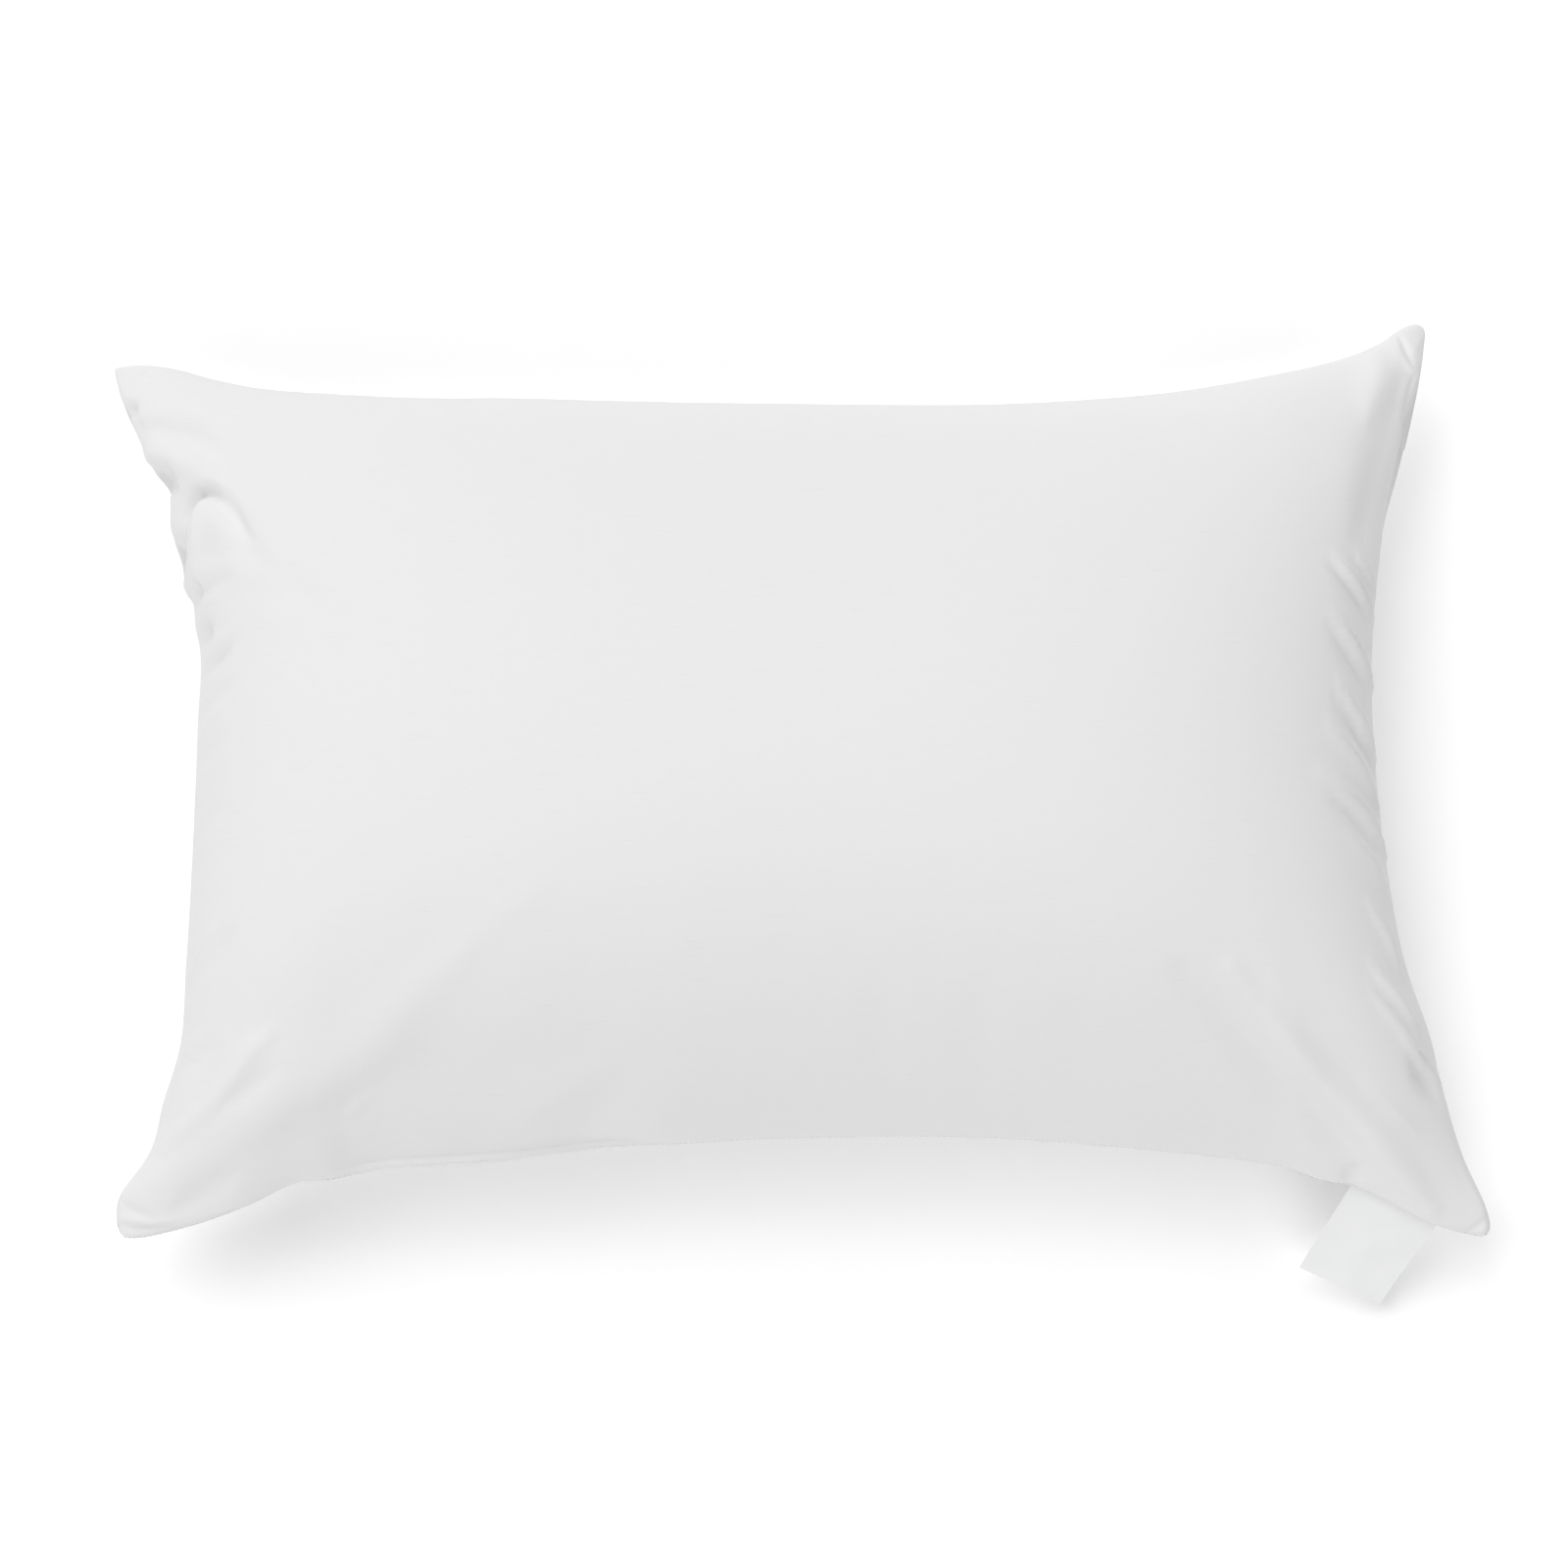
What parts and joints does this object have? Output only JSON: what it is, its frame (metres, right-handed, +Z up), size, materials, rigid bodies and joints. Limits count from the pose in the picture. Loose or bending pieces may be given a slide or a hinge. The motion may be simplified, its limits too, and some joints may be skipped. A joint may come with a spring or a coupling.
{
  "type": "bed pillow",
  "caption": "Filled rectangular bed pillow in plain white woven cotton with a knife edge, flared corners and a small blank care label sewn into the front seam.",
  "frame": {"origin": "on the flat patch that the pillow rests on, under the middle of its outline", "axes": "+X along the pillow's length to its right end, where the label is; +Z up from the surface to the crown; -Y to the front, where the closing seam is"},
  "size_m": [0.7429, 0.534, 0.19],
  "materials": {
    "shell_cotton": "plain woven, matt with a faint sheen",
    "fibre_fill": "loose matt fibre",
    "sewing_thread": "spun, satin",
    "label_tape": "flat, matt"
  },
  "bodies": {
    "pillow": {"shell_top_panel": "shell_cotton", "shell_bottom_panel": "shell_cotton", "fibre_filling": "fibre_fill", "back_overlock_thread": "sewing_thread", "left_overlock_thread": "sewing_thread", "right_overlock_thread": "sewing_thread", "closing_needle_thread": "sewing_thread", "closing_bobbin_thread": "sewing_thread"},
    "label": {"care_label": "label_tape"}
  },
  "joints": [
    {"name": "label_flap", "type": "hinge", "parent": "pillow", "child": "label", "pos_m": [0.32621, -0.23593, 0.05498], "axis": [-0.945, 0.257, 0.2024], "range_deg": [-15, 155]}
  ]
}
